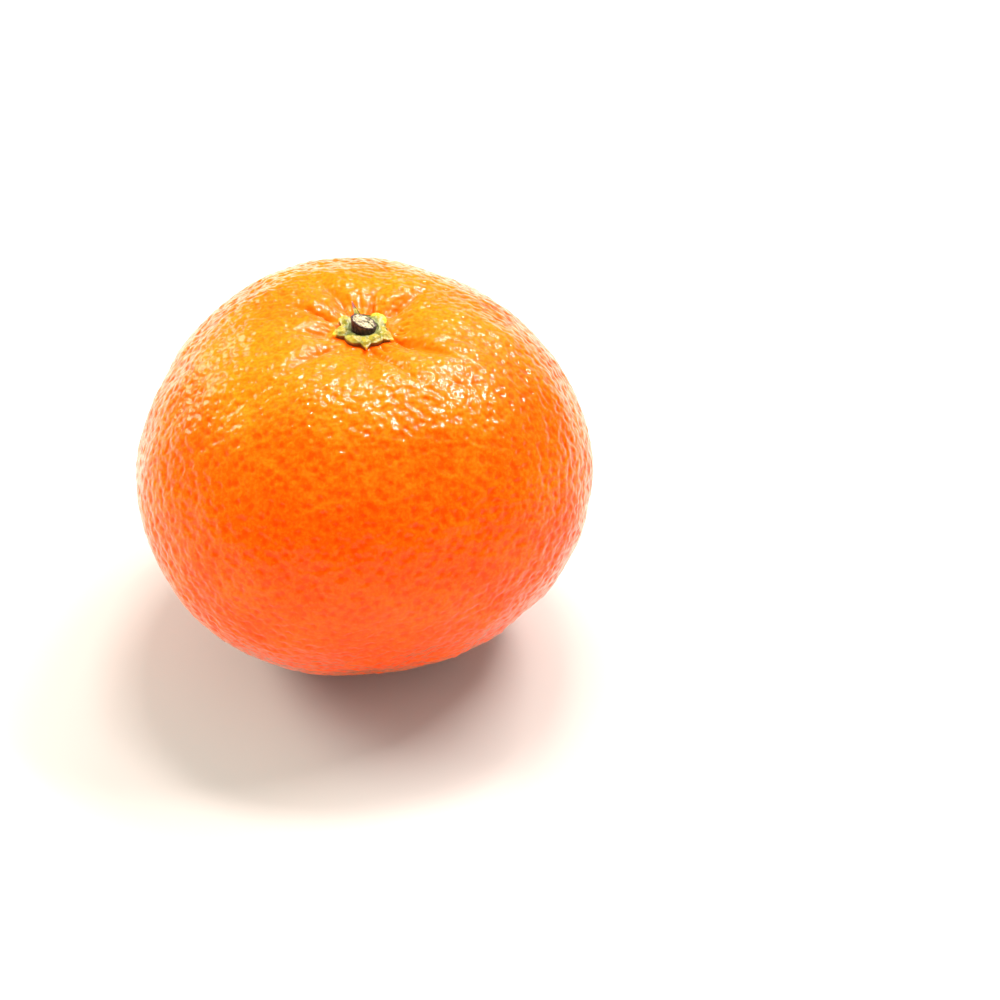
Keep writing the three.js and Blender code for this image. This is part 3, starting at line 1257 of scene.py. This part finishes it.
@dataclass(frozen=True)
class BarkFinish(Finish):
    """Dry dark bark round pale wood that shows on the cut."""

    bark: Colour = (0.020, 0.009, 0.006)
    worn: Colour = (0.085, 0.045, 0.022)
    wood: Colour = (0.37, 0.35, 0.20)
    grain: Colour = (0.11, 0.085, 0.04)
    crack: Colour = (0.025, 0.020, 0.004)
    relief_depth: float = 0.14

    def material(self) -> bpy.types.Material:
        """Wires the stalk's material.

        Returns:
            The material, on Object coordinates and the masks cut and crack.
        """
        board = Board("stalk_wood")
        cloud = board.noise(size=0.5, detail=3.0)
        bark = board.blend(board.spread(cloud, 0.45, 0.7), self.bark, self.worn)
        wood = board.blend(board.spread(cloud, 0.42, 0.62), self.wood, self.grain)
        ragged = board.spread(board.noise(size=0.4), 0.3, 0.7, start=-0.25, end=0.25)
        edge = board.math("ADD", board.mask("cut"), ragged)
        colour = board.blend(board.spread(edge, 0.4, 0.6), bark, wood)
        colour = board.blend(board.mask("crack"), colour, self.crack)
        return board.finish(
            Base_Color=colour,
            Roughness=board.spread(board.noise(size=0.6), 0.35, 0.65, start=0.5, end=0.75),
            Specular_IOR_Level=0.4,
            Normal=board.bump(board.noise(size=0.35, detail=4.0), self.relief_depth),
        )


@dataclass
class Stalk(Piece):
    """The stub of the stalk: ridged bark that flares to a slanting cut with a hooked crack.

    Its ridges are sine waves, each with its share, how often it goes round and its shift, and the share
    foot_ridges of them is left at the foot. The wood zone is a pair of shares of the way from the middle
    of the cut to its lip, between which the bare wood gives way to bark.
    """

    node: ClassVar[str] = "stalk"
    slot: ClassVar[Slot] = Slot.STALK
    form: RindForm
    axis: Array
    finish: BarkFinish = field(default_factory=BarkFinish)
    around: int = 240
    radius: float = 1.85
    flare: float = 0.1
    ridge: float = 0.06
    ridges: tuple[tuple[float, int, float], ...] = ((0.6, 9, 0.6), (0.4, 17, 2.0))
    foot_ridges: float = 0.4
    lip_rounding: float = 0.06
    seat: float = 0.6
    height: float = 1.3
    cut_slope: float = 0.42
    cut_facing: float = math.radians(12)
    wood_zone: Bounds = (0.7, 0.97)
    cut_rings: int = 36
    bark_rings: int = 18
    splinter: float = 0.04
    fibre_stretch: float = 4.0
    crack_path: tuple[Bounds, ...] = ((0.0, 0.1), (0.57, 0.4), (1.1, -0.05), (1.6, -0.8))
    crack_width: float = 0.12
    crack_depth: float = 0.35

    def crack(self, x: Array, y: Array) -> Array:
        """How far into the crack a point of the cut is: a bell across a bent line, 1 in its middle.

        Args:
            x: Distances to the right of the stalk's axis.
            y: Distances behind it.

        Returns:
            Shares of the crack's depth.
        """
        path = np.array(self.crack_path)
        places, bends = np.linspace(0, 1, 60), np.linspace(0, 1, len(path))
        line = np.stack([np.interp(places, bends, path[:, k]) for k in range(2)], axis=1)
        flat = np.stack([x.ravel(), y.ravel()], axis=1)
        gap = nearest(flat, line)[1].reshape(x.shape)
        return np.exp(-((gap / self.crack_width) ** 2))

    def ring(self, stack: RingStack, radius: Array, level: float, cut: float, cracked: bool) -> None:
        """Lays a ring with its masks.

        Args:
            stack: The rings so far.
            radius: Its distances from the stalk's axis.
            level: How far up it is, from 0 at the foot to 1 on the slanting cut.
            cut: How much bare wood it shows.
            cracked: Whether the crack runs across it.
        """
        x, y = radius * np.cos(stack.azimuth), radius * np.sin(stack.azimuth)
        towards = x * math.cos(self.cut_facing) + y * math.sin(self.cut_facing)
        foot = self.form.seat_height() + self.seat
        crack = self.crack(x, y) * cracked
        height = foot + level * (self.height - self.cut_slope * towards) - self.crack_depth * crack
        stack.lay(radius, height, cut=cut, crack=crack)

    def skin(self) -> Skin:
        """The stub as rings: over the cut, round its lip, down the ridged bark and under the foot.

        Returns:
            The closed skin, with the masks cut and crack.
        """
        stack = RingStack(self.around)
        azimuth = stack.azimuth
        waves = sum(share * np.sin(count * azimuth + shift) for share, count, shift in self.ridges)
        ridges = self.ridge * (waves - 1)
        lip = self.radius + self.flare + ridges
        for share in np.linspace(0.03, 1, self.cut_rings):
            rounding = self.lip_rounding if share == 1 else 0.0
            self.ring(stack, lip * share - rounding, 1.0, 1 - smoothstep(share, *self.wood_zone), True)
        for level in np.linspace(0.95, 0.0, self.bark_rings):
            worn = self.foot_ridges + (1 - self.foot_ridges) * level
            self.ring(stack, self.radius + self.flare * level + ridges * worn, level, 0.0, False)
        cut = stack.mask("cut")
        fibres = stack.points().reshape(-1, 3) * (1.0, 1.0, 1 / self.fibre_stretch)
        splinters = ripple(fibres, wavelength=0.5, waves=20, seed=31).reshape(cut.shape)
        return stack.close(-self.splinter * (1 + splinters) * cut, self.axis)


# ---- The studio ----

ROSY: Colour = (1.0, 0.86, 0.88)
WARM: Colour = (1.0, 0.93, 0.74)


@dataclass(frozen=True)
class Softbox:
    """A rectangular lamp that faces the fruit, placed by its azimuth and elevation in degrees.

    One that isn't mirrored lights the fruit, but doesn't show in its gloss.
    """

    name: str
    azimuth: float
    elevation: float
    width: float
    depth: float
    power: float
    colour: Colour = (1.0, 1.0, 1.0)
    distance: float = 0.7
    mirrored: bool = True

    def build(self, target: Vector) -> bpy.types.Object:
        """Hangs the lamp and turns it to its target.

        Args:
            target: The place that it faces, in metres.

        Returns:
            The lamp. Azimuth 0 hangs it in front, and 90 on the right.
        """
        turn, lift = math.radians(self.azimuth), math.radians(self.elevation)
        way = Vector((math.sin(turn) * math.cos(lift), -math.cos(turn) * math.cos(lift), math.sin(lift)))
        light = bpy.data.lights.new(self.name, "AREA")
        light.shape = "RECTANGLE"
        light.size, light.size_y = self.width, self.depth
        light.energy = self.power
        light.color = self.colour
        lamp = bpy.data.objects.new(self.name, light)
        lamp.location = target + way * self.distance
        lamp.rotation_euler = (-way).to_track_quat("-Z", "Y").to_euler()
        lamp.visible_glossy = self.mirrored
        lamp.visible_camera = False
        bpy.context.scene.collection.objects.link(lamp)
        return lamp


@dataclass
class Studio:
    """The pale table, the soft light and the camera."""

    target: Vector
    elevation: float = 38.0
    distance: float = 0.6
    lens: float = 144.0
    sensor: float = 36.0
    aside: float = -0.035
    above: float = 0.009
    room_light: float = 0.90
    table: float = 6.0
    paint: Colour = (0.41, 0.405, 0.36)
    lamps: tuple[Softbox, ...] = (
        Softbox("window", 125, 55, 0.38, 0.10, 9.0, ROSY),
        Softbox("overhead", 170, 71, 0.20, 0.10, 4.6, ROSY),
        Softbox("rear", 166, 52, 0.14, 0.10, 1.3),
        Softbox("backdrop", 155, 8, 0.70, 0.24, 0.55),
        Softbox("side", -131, 24, 0.28, 0.26, 2.3, WARM),
        Softbox("left edge", -108, 30, 0.3, 0.3, 5.4, mirrored=False),
        Softbox("fill", -15, 5, 0.5, 0.5, 3.2, distance=0.9, mirrored=False),
    )

    def floor(self) -> bpy.types.Object:
        """The table top: a wide square in plain pale paint.

        Returns:
            The floor, which is no piece of the mandarin.
        """
        half = self.table / 2
        square = [(-half, -half, 0), (half, -half, 0), (half, half, 0), (-half, half, 0)]
        mesh = bpy.data.meshes.new("table_top")
        mesh.from_pydata(square, [], [(0, 1, 2, 3)])
        board = Board("table_paint")
        mesh.materials.append(board.finish(Base_Color=self.paint, Roughness=0.9, Specular_IOR_Level=0.1))
        floor = bpy.data.objects.new("table_top", mesh)
        bpy.context.scene.collection.objects.link(floor)
        return floor

    def light(self) -> None:
        """Hangs the lamps in a pale even room."""
        for lamp in self.lamps:
            lamp.build(self.target)
        world = bpy.data.worlds.new("room")
        bpy.context.scene.world = world
        world.use_nodes = True
        background = world.node_tree.nodes["Background"]
        background.inputs["Color"].default_value = (1, 1, 1, 1)
        background.inputs["Strength"].default_value = self.room_light
        world.cycles_visibility.glossy = False
        bpy.context.scene.view_settings.view_transform = "Standard"

    def camera(self) -> bpy.types.Object:
        """Sets the camera at its angle above the table, with the fruit left of the middle of the frame.

        The camera first looks straight at the target, and is then turned about its own upright and level
        axes, so that the target lies aside and above in the frame, as shares of the distance.

        Returns:
            The scene's camera.
        """
        lift = math.radians(self.elevation)
        back = Vector((0, -math.cos(lift), math.sin(lift)))
        looking = (-back).to_track_quat("-Z", "Y").to_matrix().to_4x4()
        sideways = Matrix.Rotation(math.atan(self.aside), 4, "Y")
        aimed = sideways @ Matrix.Rotation(-math.atan(self.above), 4, "X")
        data = bpy.data.cameras.new("camera")
        data.lens = self.lens
        data.sensor_width = self.sensor
        camera = bpy.data.objects.new("camera", data)
        camera.matrix_world = Matrix.Translation(self.target + back * self.distance) @ looking @ aimed
        bpy.context.scene.collection.objects.link(camera)
        bpy.context.scene.camera = camera
        return camera


def corners(box: tuple[Vector, Vector]) -> list[list[float]]:
    """A box as plain lists of numbers."""
    return [list(corner) for corner in box]


def main() -> None:
    """Builds the mandarin piece by piece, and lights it."""
    logging.basicConfig(level=logging.INFO, format="%(name)s: %(message)s")
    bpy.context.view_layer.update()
    low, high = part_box("stalk")
    stem_end = np.array([(low.x + high.x) / 2 / MM, (low.y + high.y) / 2 / MM, 0.0])
    form = RindForm()
    axis = stem_end - np.array([*form.lean, 0.0])
    for part in (Fruit(form, axis), Calyx(form, stem_end), Stalk(form, stem_end)):
        piece = part.build()
        log.info("%s: %d faces", piece.name, len(piece.data.polygons))
    studio = Studio(Vector((axis[0] * MM, axis[1] * MM, form.equator * MM)))
    studio.floor()
    studio.light()
    studio.camera()


if __name__ == "__main__":
    main()
